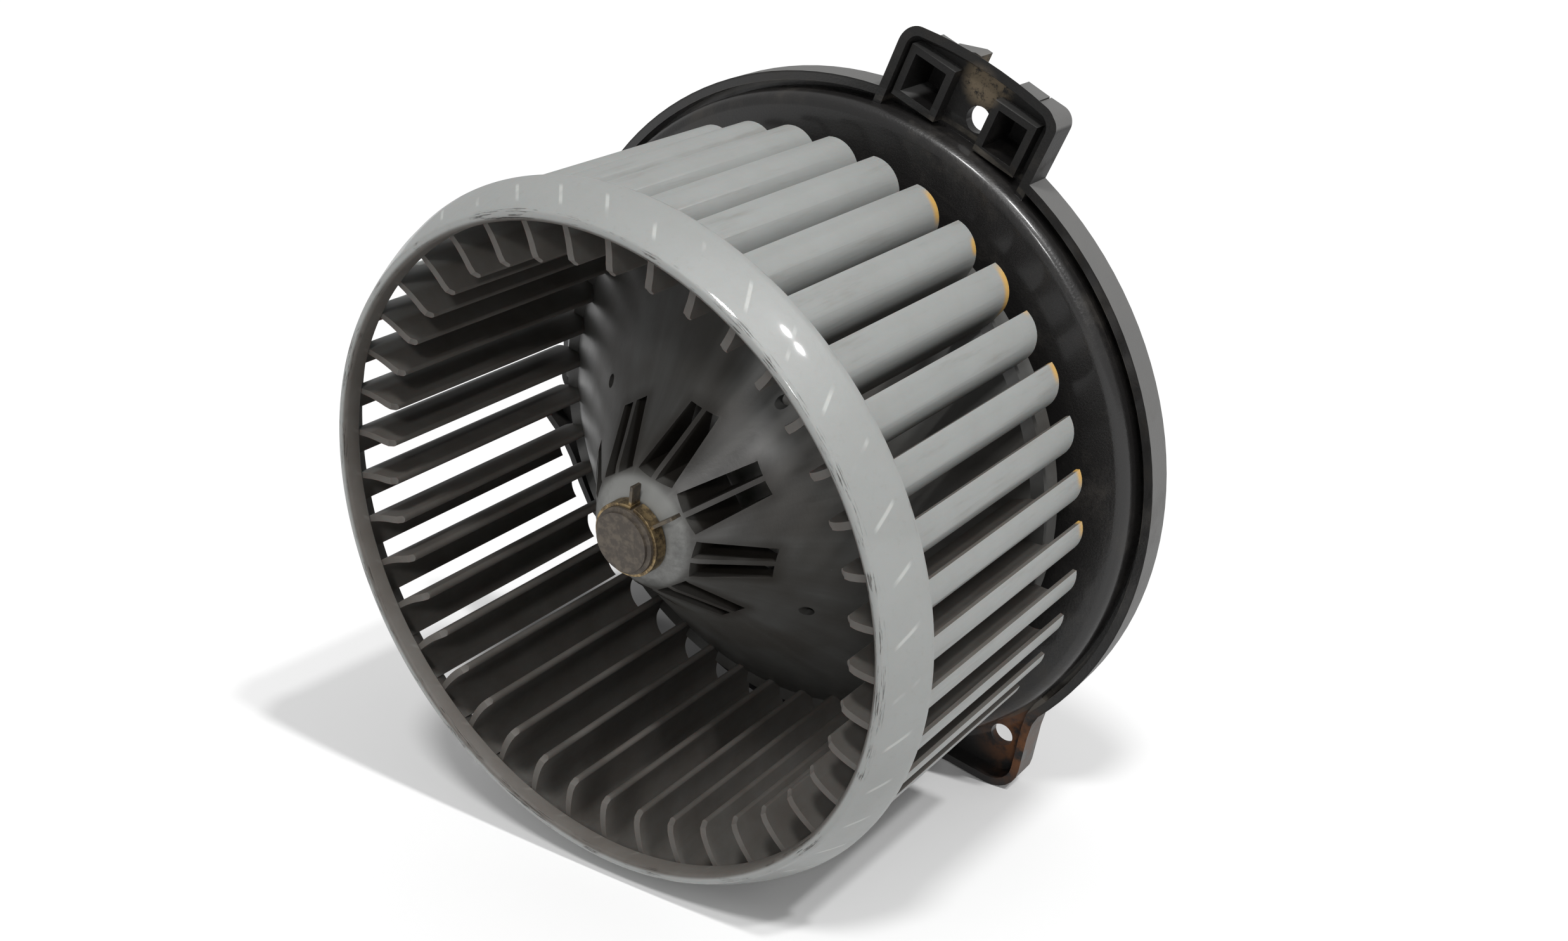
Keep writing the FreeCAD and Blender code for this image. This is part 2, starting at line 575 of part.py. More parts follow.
# ribs and screw bosses on the back of the plate
rib = block(rear_in + 2, SHOULDER_R - 2, PLATE_FACE + PLATE_T - 0.5, FLANGE_BACK - 3, -0.9, 0.9)
flange = flange.fuse([at_angle(rib, 15 + 30 * i) for i in range(12)])
boss_at = [polar(SCREW_R, a) for a in (30, 150, 270)]
bosses = []
for a in (30, 150, 270):
    bosses.append(at_angle(rod(4.2, PLATE_FACE + 1, COLLAR_BACK, SCREW_R, 0), a))
    bosses.append(at_angle(block(rear_in + 1, SCREW_R, PLATE_FACE + 1, COLLAR_BACK, -1.5, 1.5), a))
flange = flange.fuse(bosses)
flange = flange.cut(Part.makeCompound([rod(2.0, COLLAR_BACK - 12, COLLAR_BACK + 1, x, z) for x, z in boss_at]))
flange = flange.cut(rod(rear_in, shoulder, COLLAR_BACK + 1))
export("mounting_flange", flange.removeSplitter())

# --- rear cover: lid over the collar, with the connector shell moulded on ------------------------
cover_back = cover_face + COVER_T
cover = rod(rear_in + 2.5, cover_face, cover_back)
cover = cover.fuse([rod(4.6, cover_face, cover_back, x, z) for x, z in boss_at])
cover = cover.fuse(tube(22.6, 26.6, bracket_back + 3.0, cover_face + 0.5))
shell_box = block(-12.5, 12.5, cover_face, cover_back + 12, -26.0, -12.2)
cavity = block(-10.9, 10.9, cover_back, cover_back + 13, -24.4, -13.8)
cover = cover.fuse(shell_box).cut(cavity)
latch = block(-3.0, 3.0, cover_back + 5, cover_back + 9, -12.7, -11.2)
cover = cover.fuse(latch)
passes = [block(x - 3.15, x + 3.15, cover_face - 5, cover_back + 1, -19.5, -18.7) for x in (-5.7, 5.7)]
passes += [rod(2.0, cover_face - 1, cover_back + 1, x, z) for x, z in boss_at]
for a in (60, 120):
    passes.append(at_angle(block(14.0, 20.5, cover_face - 5, cover_back + 1, -1.2, 1.2), a))
passes.append(at_angle(block(14.0, 20.5, cover_face - 5, cover_back + 1, -1.2, 1.2), 90))
cover = cover.cut(Part.makeCompound(passes))
export("rear_cover", cover.removeSplitter())
group("cover_screws", [
    rod(2.0, COLLAR_BACK - 12, cover_back, x, z).fuse(rod(3.6, cover_back, cover_back + 2.4, x, z))
    for x, z in boss_at
])
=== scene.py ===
import json
import math

import bmesh
import bpy
from mathutils import Matrix, Vector


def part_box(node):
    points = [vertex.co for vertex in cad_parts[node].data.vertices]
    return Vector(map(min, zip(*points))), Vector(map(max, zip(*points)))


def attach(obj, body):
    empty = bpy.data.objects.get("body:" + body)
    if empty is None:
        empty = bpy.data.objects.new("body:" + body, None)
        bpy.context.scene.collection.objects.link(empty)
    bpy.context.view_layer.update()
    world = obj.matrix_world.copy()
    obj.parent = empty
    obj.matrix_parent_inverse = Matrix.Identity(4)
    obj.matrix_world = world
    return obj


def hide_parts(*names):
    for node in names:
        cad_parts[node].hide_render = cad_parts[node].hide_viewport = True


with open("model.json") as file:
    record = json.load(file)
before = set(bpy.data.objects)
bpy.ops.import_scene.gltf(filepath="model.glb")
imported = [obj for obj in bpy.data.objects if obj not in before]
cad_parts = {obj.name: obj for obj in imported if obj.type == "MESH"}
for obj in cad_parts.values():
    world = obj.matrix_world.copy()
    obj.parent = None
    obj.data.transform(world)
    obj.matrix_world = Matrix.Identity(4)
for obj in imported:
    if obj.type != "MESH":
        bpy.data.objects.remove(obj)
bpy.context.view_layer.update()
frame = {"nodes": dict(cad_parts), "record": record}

# ---------------------------------------------------------------------------------------------
# Mounting flange: one moulding in black glass-filled plastic, with a channel round its edge for
# the housing's lip, three ears for the fixing screws and a collar that grips the motor's rubber.
# Its sheen is worn unevenly, dust lies in its corners and a fixing screw has bled rust.


class Value:
    """A number, vector or colour inside a material. Arithmetic on it adds Math nodes."""

    def __init__(self, paint, socket):
        self.paint = paint
        self.socket = socket

    def math(self, operation, *others):
        return self.paint.node("ShaderNodeMath", {"operation": operation}, dict(enumerate((self,) + others)))

    def __add__(self, other):
        return self.math("ADD", other)

    def __sub__(self, other):
        return self.math("SUBTRACT", other)

    def __rsub__(self, other):
        return self.paint.node("ShaderNodeMath", {"operation": "SUBTRACT"}, {0: other, 1: self})

    def __mul__(self, other):
        return self.math("MULTIPLY", other)

    def __truediv__(self, other):
        return self.math("DIVIDE", other)

    def __pow__(self, other):
        return self.math("POWER", other)

    __radd__ = __add__
    __rmul__ = __mul__


class Paint:
    """One material: its patterns read the piece's own coordinates, in metres."""

    def __init__(self, name):
        self.material = bpy.data.materials.new(name)
        self.material.use_nodes = True
        self.tree = self.material.node_tree
        self.tree.nodes.clear()
        self.place = self.node("ShaderNodeTexCoord", {}, {}, "Object")
        parts = [self.node("ShaderNodeSeparateXYZ", {}, {0: self.place}, axis) for axis in range(3)]
        self.x, self.y, self.z = parts
        self.radius = (self.x * self.x + self.z * self.z) ** 0.5
        self.angle = self.z.math("ARCTAN2", self.x)

    def node(self, kind, settings, inputs, output=0):
        made = self.tree.nodes.new(kind)
        for name, value in settings.items():
            setattr(made, name, value)
        for key, value in inputs.items():
            if isinstance(value, Value):
                self.tree.links.new(value.socket, made.inputs[key])
            else:
                made.inputs[key].default_value = value
        return Value(self, made.outputs[output])

    def vector(self, x, y, z):
        return self.node("ShaderNodeCombineXYZ", {}, {0: x, 1: y, 2: z})

    def noise(self, size, detail=3.0, rough=0.5, at=None):
        """Soft cloudy noise, 0 to 1, whose clouds are about size metres across."""
        inputs = {"Vector": at or self.place, "Scale": 1.0 / size, "Detail": detail, "Roughness": rough}
        return self.node("ShaderNodeTexNoise", {}, inputs)

    def ease(self, value, low, high):
        """0 below low, 1 above high and smooth between; low above high turns it round."""
        inputs = {"Value": value, "From Min": low, "From Max": high, "To Min": 0.0, "To Max": 1.0}
        if low > high:
            inputs.update({"From Min": high, "From Max": low, "To Min": 1.0, "To Max": 0.0})
        return self.node("ShaderNodeMapRange", {"interpolation_type": "SMOOTHSTEP"}, inputs)

    def spot(self, centre, near, far):
        """1 within near metres of a point, fading to 0 at far."""
        ends = {0: self.place, 1: centre}
        apart = self.node("ShaderNodeVectorMath", {"operation": "DISTANCE"}, ends, "Value")
        return self.ease(apart, far, near)

    def lean(self):
        """How squarely the surface faces away from the spin axis: 1 outward, -1 towards it."""
        facing = self.node("ShaderNodeTexCoord", {}, {}, "Normal")
        aside = self.vector(self.x, 0.0, self.z)
        outward = self.node("ShaderNodeVectorMath", {"operation": "NORMALIZE"}, {0: aside})
        ends = {0: facing, 1: outward}
        return self.node("ShaderNodeVectorMath", {"operation": "DOT_PRODUCT"}, ends, "Value")

    def mix(self, share, below, above):
        below, above = ((c if isinstance(c, Value) else (*c, 1.0)) for c in (below, above))
        return self.node("ShaderNodeMix", {"data_type": "RGBA"}, {0: share, 6: below, 7: above}, 2)

    def finish(self, colour, rough, height=None, depth=0.0001, metallic=0.0, **fixed):
        """The surface itself. Height is a value near 0 to 1, and depth what it stands for in metres."""
        inputs = {"Base Color": colour if isinstance(colour, Value) else (*colour, 1.0),
                  "Roughness": rough, "Metallic": metallic}
        if height is not None:
            bump = {"Height": height, "Distance": depth, "Strength": 1.0}
            inputs["Normal"] = self.node("ShaderNodeBump", {}, bump)
        inputs.update({name.replace("_", " "): value for name, value in fixed.items()})
        surface = self.node("ShaderNodeBsdfPrincipled", {}, inputs)
        end = self.tree.nodes.new("ShaderNodeOutputMaterial")
        self.tree.links.new(surface.socket, end.inputs["Surface"])
        return self.material


def from_cad(node, edge, sharp=32.0):
    """A merged copy of a CAD node's mesh, smooth but for its real edges, which are rounded by edge metres."""
    mesh = frame["nodes"][node].data.copy()
    mesh.materials.clear()
    piece = bpy.data.objects.new(node + "_moulded", mesh)
    bpy.context.scene.collection.objects.link(piece)
    work = bmesh.new()
    work.from_mesh(mesh)
    bmesh.ops.remove_doubles(work, verts=work.verts, dist=2e-6)
    bmesh.ops.dissolve_limit(work, angle_limit=math.radians(0.4), verts=work.verts, edges=work.edges)
    for face in work.faces:
        face.smooth = True
    for line in work.edges:
        line.smooth = line.calc_face_angle(0.0) < math.radians(sharp)
    work.to_mesh(mesh)
    work.free()
    if edge:
        bevel = piece.modifiers.new("rounded_edges", "BEVEL")
        bevel.width = edge
        bevel.segments = 2
        bevel.limit_method = "ANGLE"
        bevel.angle_limit = math.radians(sharp)
        bevel.harden_normals = True
    return piece


def fit(piece, body, slot, material, *nodes):
    """Gives a finished piece its material and its body, and hides the CAD nodes it stands for. The slot is
    not used.
    """
    piece.data.materials.clear()
    piece.data.materials.append(material)
    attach(piece, body)
    if nodes:
        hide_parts(*nodes)
    return piece


def polar(radius, degrees, along):
    turn = math.radians(degrees)
    return Vector((radius * math.cos(turn), along, radius * math.sin(turn)))


seat_y = frame["record"]["mounts"][0]["pos_m"][1]
ear_circle = 0.001 * frame["record"]["mounts"][0]["dims"]["pcd_mm"] / 2
channel_in, channel_out, rim = 0.0838, 0.0853, 0.0866  # radii of the edge channel and of the rim
stained_ear, scuffed_ear = -56.0, 60.9  # degrees round the spin axis from +X towards +Z


def black_plastic(name):
    p = Paint(name)
    grain = p.noise(0.0006, 2.0)
    cloud = p.noise(0.018, 5.0, 0.6)
    sweep = p.noise(0.004, 3.0, 0.6, p.vector(p.radius * 6.0, p.angle * 0.010, p.y))
    dust = p.ease(cloud + 0.35 * p.noise(0.003, 4.0, 0.7), 0.66, 0.92)
    colour = p.mix(dust * 0.45, (0.0085, 0.0080, 0.0078), (0.034, 0.029, 0.023))
    colour = p.mix(p.ease(sweep, 0.62, 0.80) * 0.30, colour, (0.034, 0.031, 0.028))
    return p, colour, dust, grain, cloud


p, colour, dust, grain, cloud = black_plastic("flange_black_plastic")
stain_at = polar(ear_circle + 0.003, stained_ear, seat_y)
stain = p.spot(stain_at, 0.002, 0.017) * p.ease(p.noise(0.004, 4.0, 0.6), 0.36, 0.60)
colour = p.mix(stain * 0.8, colour, (0.17, 0.065, 0.022))
scuff_at = polar(ear_circle + 0.0085, scuffed_ear, seat_y)
scuff = p.spot(scuff_at, 0.0035, 0.0075) * p.ease(p.noise(0.0022, 4.0, 0.7), 0.36, 0.52)
colour = p.mix(scuff * 0.85, colour, (0.19, 0.150, 0.100))
groove = p.ease(p.radius, channel_in, channel_in + 0.0003)
groove = groove * p.ease(p.radius, channel_out, channel_out - 0.0003)
colour = p.mix(groove * p.ease(cloud, 0.40, 0.62) * 0.6, colour, (0.085, 0.075, 0.060))
# The rim's outward-facing skirt is painted light grey: partly dust, partly a painted reflection of grazing
# light.
skirt = p.ease(p.radius, rim, rim + 0.0004) * p.ease(p.lean(), 0.35, 0.60)
colour = p.mix(skirt * 0.7, colour, (0.130, 0.129, 0.126))
ear = p.ease(p.radius, rim, rim + 0.0006)
rough = 0.30 + dust * 0.25 + stain * 0.3 + scuff * 0.3 + 0.12 * cloud + 0.20 * ear
flange_black = p.finish(colour, rough, grain * 0.5 + cloud, 0.00012,
                        Coat_Weight=p.ease(ear, 1.0, 0.0) * 0.35, Coat_Roughness=0.14,
                        Specular_IOR_Level=0.35)
fit(from_cad("mounting_flange", 0.00035), "stator", "flange_plastic", flange_black, "mounting_flange")

# ---------------------------------------------------------------------------------------------
# Motor can and end bracket: deep-drawn zinc-plated steel, pushed into the flange's collar with a
# rubber ring at each end. The plating is dulled, with a faint grain from drawing.

p = Paint("zinc_plate")
drawn = p.noise(0.0009, 3.0, 0.6, p.vector(p.x, p.y * 0.12, p.z))
dull = p.noise(0.010, 5.0, 0.65)
colour = p.mix(p.ease(dull, 0.35, 0.75), (0.50, 0.50, 0.49), (0.33, 0.32, 0.29))
zinc = p.finish(colour, 0.30 + 0.25 * dull, drawn, 0.00004, 1.0)
for node in ("motor_yoke", "end_bracket"):
    fit(from_cad(node, 0.0003), "stator", "zinc_steel", zinc, node)

p = Paint("black_rubber")
bloom = p.noise(0.006, 5.0, 0.6)
rubber = p.finish(p.mix(p.ease(bloom, 0.4, 0.8), (0.012, 0.012, 0.012), (0.045, 0.043, 0.040)),
                  0.75 + 0.15 * bloom, p.noise(0.0008, 2.0), 0.00008)
for node in ("front_rubber_ring", "rear_rubber_ring", "cover_rubber_ring"):
    fit(from_cad(node, 0.0004), "stator", "rubber", rubber, node)

# ---------------------------------------------------------------------------------------------
# Inside the can: bronze bushes in steel retainers, ferrite arcs held apart by spring clips, and
# the brush gear on a brown phenolic plate, with brass boxes, carbon brushes and copper leads.


def plain_metal(name, colour, tarnish, rough, scale=0.004):
    p = Paint(name)
    cloud = p.noise(scale, 5.0, 0.6)
    fine = p.noise(scale * 0.12, 2.0)
    return p.finish(p.mix(p.ease(cloud, 0.4, 0.75), colour, tarnish), rough + 0.2 * cloud, fine, 0.00003, 1.0)


def plain_dull(name, colour, dirt, rough, scale=0.003):
    p = Paint(name)
    cloud = p.noise(scale, 5.0, 0.6)
    fine = p.noise(scale * 0.15, 2.0)
    return p.finish(p.mix(p.ease(cloud, 0.4, 0.75), colour, dirt), rough + 0.15 * cloud, fine, 0.00006)


def paint_cad(material, *nodes):
    """Gives the CAD mesh of each of these nodes its material; it is shown as it is."""
    for node in nodes:
        held = frame["nodes"][node].data.materials
        held.clear()
        held.append(material)


spring_wire = plain_metal("spring_steel_wire", (0.42, 0.42, 0.42), (0.26, 0.24, 0.21), 0.28)
bronze = plain_metal("oiled_bronze", (0.42, 0.28, 0.14), (0.22, 0.14, 0.07), 0.40)
brass = plain_metal("terminal_brass", (0.62, 0.46, 0.20), (0.36, 0.25, 0.11), 0.25)
copper = plain_metal("bare_copper", (0.60, 0.30, 0.17), (0.30, 0.15, 0.09), 0.25)
ferrite = plain_dull("ferrite_grey", (0.060, 0.060, 0.063), (0.035, 0.034, 0.034), 0.62)
phenolic = plain_dull("brown_phenolic", (0.095, 0.050, 0.026), (0.055, 0.032, 0.020), 0.50)
carbon = plain_dull("brush_carbon", (0.020, 0.020, 0.021), (0.035, 0.034, 0.034), 0.55)
enamel = plain_dull("winding_enamel", (0.30, 0.085, 0.025), (0.19, 0.055, 0.018), 0.22, 0.0012)
inner_parts = (
    (spring_wire, ("magnet_springs", "bearing_retainers", "brush_spring_left", "brush_spring_right")),
    (bronze, ("front_bearing", "rear_bearing")),
    (brass, ("brush_boxes", "terminals")),
    (copper, ("brush_leads", "commutator_bars")),
    (ferrite, ("field_magnets",)),
    (phenolic, ("brush_plate", "commutator_hub")),
    (carbon, ("brush_left", "brush_right")),
    (enamel, ("choke_coils", "armature_windings")),
)
for material, nodes in inner_parts:
    paint_cad(material, *nodes)

# ---------------------------------------------------------------------------------------------
# Armature: a slotted stack of steel laminations on a ground shaft, with nylon washers at each
# end. The shaft's front end, in the open air of the wheel, has turned brown with rust.

p = Paint("core_laminations")
lamination = 0.0005
leaf = (p.y * (2 * math.pi / lamination)).math("SINE")
core_steel = p.finish((0.17, 0.17, 0.18), 0.45 + 0.1 * p.noise(0.002), leaf, 0.00003, 1.0)
nylon = plain_dull("washer_nylon", (0.62, 0.58, 0.46), (0.48, 0.42, 0.30), 0.45)
paint_cad(core_steel, "armature_core")
paint_cad(nylon, "thrust_washers")

p = Paint("rusted_shaft")
rings = p.noise(0.0006, 2.0, 0.5, p.vector(p.radius, 0.0, 0.0))
rust = p.ease(p.noise(0.0022, 5.0, 0.65), 0.38, 0.62) * p.ease(p.y, -0.050, -0.070)
colour = p.mix(rust, (0.20, 0.185, 0.165), (0.105, 0.066, 0.040))
shaft_steel = p.finish(colour, 0.42 + 0.35 * rust, rings + rust * 0.6, 0.00010, 0.65 - 0.5 * rust)
fit(from_cad("motor_shaft", 0.0004), "rotor", "shaft_steel", shaft_steel, "motor_shaft")

# ---------------------------------------------------------------------------------------------
# Fan wheel: one moulding in natural grey polypropylene, here as its ring, blades and hub. The
# outside stays pale and slightly see-through; everything the air strikes inside is painted dark
# brown, for fine dirt and for painted shade. The ring's lip is nicked and dark in its scratches.

blade_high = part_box("fan_blades")[1]
ring_low, ring_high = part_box("fan_ring")
blade_count = 41
PALE = (0.205, 0.212, 0.206)
# dark brown laid inside the wheel: fine dirt and painted shade in one colour
GRIME_AND_SHADE = (0.040, 0.031, 0.024)


def wheel_plastic(name):
    """A material of the moulding with its cloudy and its fine pattern."""
    p = Paint(name)
    return p, p.noise(0.012, 5.0, 0.62), p.noise(0.0016, 4.0, 0.7)


p, cloud, fine = wheel_plastic("ring_pale_plastic")
inside = p.ease(p.lean(), -0.10, -0.60)
depth = (p.y - ring_low.y) / (ring_high.y - ring_low.y)
tick = (p.angle * (blade_count / (2 * math.pi)) - depth * 0.74 + 0.45).math("FRACT")
tick = p.ease(tick, 0.02, 0.05) * p.ease(tick, 0.13, 0.09)
tick = tick * p.ease(depth, 0.20, 0.32) * p.ease(depth, 0.72, 0.60) * p.ease(p.noise(0.009, 2.0), 0.34, 0.50)
along = p.vector(p.radius * 2.0, p.y * 6.0, p.angle * 0.012)
scratch = p.ease(p.noise(0.0011, 3.0, 0.7, along), 0.55, 0.62)
edge = p.ease(depth, 0.13, 0.03) + p.ease(depth, 0.90, 0.98) * 0.6
nick = (edge * scratch * p.ease(cloud, 0.42, 0.58)).math("MINIMUM", 1.0)
colour = p.mix(p.ease(cloud, 0.30, 0.75) * 0.45, PALE, (0.180, 0.184, 0.176))
colour = p.mix(tick * 0.45, colour, (0.42, 0.43, 0.41))
colour = p.mix(p.ease(fine, 0.55, 0.75) * 0.15, colour, (0.125, 0.112, 0.095))
# Inward-facing surfaces of the ring: fine dirt and painted shade, in one dark brown.
colour = p.mix(inside * (0.72 + 0.25 * cloud), colour, GRIME_AND_SHADE)
colour = p.mix(nick * 0.85, colour, (0.022, 0.019, 0.016))
rough = 0.46 + 0.10 * cloud + 0.15 * inside + 0.3 * nick
ring_plastic = p.finish(colour, rough, fine * 0.4 + cloud - nick * 0.8, 0.00010,
                        Subsurface_Weight=0.12, Subsurface_Scale=0.0015,
                        Coat_Weight=p.ease(inside, 0.5, 0.1) * 0.40, Coat_Roughness=0.06)


def lathe(name, outline, steps):
    """A closed solid of revolution about the spin axis from (radius, y) points in metres."""
    mesh = bpy.data.meshes.new(name)
    work = bmesh.new()
    rows = []
    for k in range(steps):
        turn = 2 * math.pi * k / steps
        rows.append([work.verts.new((r * math.cos(turn), y, r * math.sin(turn))) for r, y in outline])
    for k in range(steps):
        a, b = rows[k], rows[(k + 1) % steps]
        for i in range(len(outline)):
            j = (i + 1) % len(outline)
            work.faces.new((a[i], a[j], b[j], b[i]))
    bmesh.ops.recalc_face_normals(work, faces=work.faces)
    for face in work.faces:
        face.smooth = True
    for line in work.edges:
        line.smooth = line.calc_face_angle(0.0) < math.radians(40)
    work.to_mesh(mesh)
    work.free()
    piece = bpy.data.objects.new(name, mesh)
    bpy.context.scene.collection.objects.link(piece)
    return piece


# the ring's section: rolled lip at the mouth, flared band, and a skirt over the blades' roots
mouth, lip_out, rear_out = 0.0726, 0.0750, ring_high.x
front, back = ring_low.y, ring_high.y
wall = front + 0.0045
section = [
    (mouth, front + 0.0011), (mouth + 0.00018, front + 0.00060), (mouth + 0.0005, front + 0.00025),
    (mouth + 0.0012, front + 0.00001), (lip_out - 0.0009, front + 0.00005),
    (lip_out - 0.0004, front + 0.00015), (lip_out - 0.0001, front + 0.0004),
    (lip_out + 0.0004, front + 0.0012), (lip_out + 0.0015, front + 0.0030),
    (lip_out + 0.0026, front + 0.0050), (rear_out - 0.0012, front + 0.0070),
    (rear_out - 0.00045, front + 0.0090), (rear_out - 0.00008, back - 0.0007),
    (rear_out - 0.0001, back - 0.0003), (rear_out - 0.0004, back - 0.00002),
    (rear_out - 0.0011, back - 0.00002), (rear_out - 0.0013, back - 0.0002),
    (rear_out - 0.0024, front + 0.0070), (lip_out + 0.0010, wall), (mouth + 0.0003, wall),
    (mouth, wall - 0.0003),
]
fit(lathe("fan_ring_band", section, 288), "rotor", "wheel_plastic", ring_plastic, "fan_ring")

# The blades: one blade's mesh, copied round the wheel by a node tree with its number as an input.

p, cloud, fine = wheel_plastic("blade_pale_plastic")
# Blade faces turned to the axis and the blades' inner ends: fine dirt and painted shade, in one dark brown.
reach = p.ease(p.radius, 0.0700, 0.0640)
inside = (p.ease(p.lean(), 0.42, 0.05) + reach * 0.8).math("MINIMUM", 1.0)
streak = p.noise(0.0030, 4.0, 0.65, p.vector(p.x, p.y * 0.10, p.z))
rear = blade_high.y
tip_band = p.ease(p.y, rear - 0.0026, rear - 0.0008) * p.ease(p.radius, 0.0700, 0.0740)
marked = p.spot(polar(0.0765, 36.0, rear), 0.0040, 0.0075)
for at, size in ((45.0, 0.0026), (54.0, 0.0050), (22.0, 0.0036), (4.8, 0.0036), (-4.0, 0.0032)):
    marked = marked + p.spot(polar(0.0770, at, rear), size * 0.4, size)
marked = (marked * tip_band).math("MINIMUM", 1.0)
colour = p.mix(p.ease(cloud, 0.30, 0.75) * 0.40, PALE, (0.175, 0.178, 0.170))
colour = p.mix(p.ease(streak, 0.52, 0.74) * 0.35, colour, (0.110, 0.102, 0.088))
colour = p.mix(inside * (0.66 + 0.30 * cloud), colour, GRIME_AND_SHADE)
colour = p.mix(marked * 0.9, colour, (0.40, 0.235, 0.050))
rough = 0.38 + 0.12 * cloud + 0.22 * inside
blade_plastic = p.finish(colour, rough, streak * 0.6 + cloud, 0.00010,
                         Subsurface_Weight=0.15, Subsurface_Scale=0.0015)

whole = from_cad("fan_blades", 0.0)
work = bmesh.new()
work.from_mesh(whole.data)
first = min(work.verts, key=lambda v: abs(math.atan2(v.co.z, v.co.x)) + (1.0 if v.co.x < 0 else 0.0))
keep = {first}
front_line = [first]
while front_line:
    here = front_line.pop()
    for line in here.link_edges:
        other = line.other_vert(here)
        if other not in keep:
            keep.add(other)
            front_line.append(other)
bmesh.ops.delete(work, geom=[v for v in work.verts if v not in keep], context="VERTS")
work.to_mesh(whole.data)
work.free()
bevel = whole.modifiers.new("rounded_edges", "BEVEL")
bevel.width = 0.00022
bevel.segments = 2
bevel.limit_method = "ANGLE"
bevel.angle_limit = math.radians(40)
bevel.harden_normals = True

tree = bpy.data.node_groups.new("round_the_wheel", "GeometryNodeTree")
tree.interface.new_socket("Geometry", in_out="INPUT", socket_type="NodeSocketGeometry")
sizes = {
    "Count": tree.interface.new_socket("Count", in_out="INPUT", socket_type="NodeSocketInt"),
    "Material": tree.interface.new_socket("Material", in_out="INPUT", socket_type="NodeSocketMaterial"),
}
tree.interface.new_socket("Geometry", in_out="OUTPUT", socket_type="NodeSocketGeometry")
given = tree.nodes.new("NodeGroupInput")
result = tree.nodes.new("NodeGroupOutput")
points = tree.nodes.new("GeometryNodePoints")
place = tree.nodes.new("GeometryNodeInstanceOnPoints")
index = tree.nodes.new("GeometryNodeInputIndex")
share = tree.nodes.new("ShaderNodeMath")
share.operation = "DIVIDE"
turn = tree.nodes.new("ShaderNodeMath")
turn.operation = "MULTIPLY"
turn.inputs[1].default_value = -2 * math.pi
about = tree.nodes.new("ShaderNodeCombineXYZ")
real = tree.nodes.new("GeometryNodeRealizeInstances")
coat = tree.nodes.new("GeometryNodeSetMaterial")
for a, b in (
    (given.outputs["Count"], points.inputs["Count"]), (points.outputs[0], place.inputs["Points"]),
    (given.outputs["Geometry"], place.inputs["Instance"]), (index.outputs[0], share.inputs[0]),
    (given.outputs["Count"], share.inputs[1]), (share.outputs[0], turn.inputs[0]),
    (turn.outputs[0], about.inputs["Y"]), (about.outputs[0], place.inputs["Rotation"]),
    (place.outputs[0], real.inputs[0]), (real.outputs[0], coat.inputs[0]),
    (given.outputs["Material"], coat.inputs["Material"]), (coat.outputs[0], result.inputs[0]),
):
    tree.links.new(a, b)


def made_by(piece, tree, name, **values):
    """The plain mesh that a piece's modifiers and a node tree with these values give."""
    nodes = piece.modifiers.new("repeat", "NODES")
    nodes.node_group = tree
    for socket in tree.interface.items_tree:
        if socket.in_out == "INPUT" and socket.name in values:
            nodes[socket.identifier] = values[socket.name]
    ready = piece.evaluated_get(bpy.context.evaluated_depsgraph_get())
    mesh = bpy.data.meshes.new_from_object(ready)
    done = bpy.data.objects.new(name, mesh)
    bpy.context.scene.collection.objects.link(done)
    bpy.data.objects.remove(piece)
    return done


blades = made_by(whole, tree, "fan_blade_row", Count=blade_count, Material=blade_plastic)
fit(blades, "rotor", "wheel_plastic", blade_plastic, "fan_blades")

# The hub: a cone with paired slots for the motor's cooling air, a thin rear disc that carries the
# blades, and a neck moulded round the shaft. Its face has radial streaks, partly painted reflection,
# and painted shade at its slots.

p, cloud, fine = wheel_plastic("hub_plastic")
# Radial streaks of lighter and darker tone, partly a painted reflection along the cone.
spokes = p.noise(0.010, 4.0, 0.6, p.vector(p.angle * 0.060, p.radius * 0.18, 0.0))
sweep = p.noise(0.022, 3.0, 0.5)
collar = p.ease(p.radius, 0.0150, 0.0125) * p.ease(p.radius, 0.0078, 0.0090)
colour = p.mix(p.ease(spokes, 0.25, 0.78), (0.052, 0.050, 0.047), (0.076, 0.077, 0.074))
colour = p.mix(p.ease(sweep, 0.42, 0.66) * 0.55, colour, (0.036, 0.032, 0.027))
scrape = p.noise(0.0016, 2.0, 0.6, p.vector(p.x * 0.25 + p.z * 0.6, p.z * 0.25, p.x * 1.2))
colour = p.mix(p.ease(scrape, 0.70, 0.76) * p.ease(cloud, 0.5, 0.7) * 0.30, colour, (0.20, 0.195, 0.185))
colour = p.mix(collar * p.ease(sweep + 0.4 * fine, 0.45, 0.85), colour, (0.170, 0.172, 0.164))
slot_pairs, first_pair, slot_in, slot_out = 8, 25.0, 0.0136, 0.0260
pitch = 360.0 / slot_pairs
turn = (p.angle * (slot_pairs / (2 * math.pi)) + 0.5 - first_pair / pitch).math("FRACT")
across = (turn - 0.5).math("ABSOLUTE") * p.radius * math.radians(pitch)
# Painted shade: a dark wedge round each pair of slots.
slot_shade = p.ease(across, 0.0068, 0.0046) * p.ease(p.radius, slot_in - 0.0016, slot_in + 0.0004)
slot_shade = slot_shade * p.ease(p.radius, slot_out + 0.0030, slot_out + 0.0002)
colour = p.mix(slot_shade * 0.60, colour, (0.020, 0.017, 0.014))
cone_face = 0.0854  # the cone's face lies at y = radius - cone_face
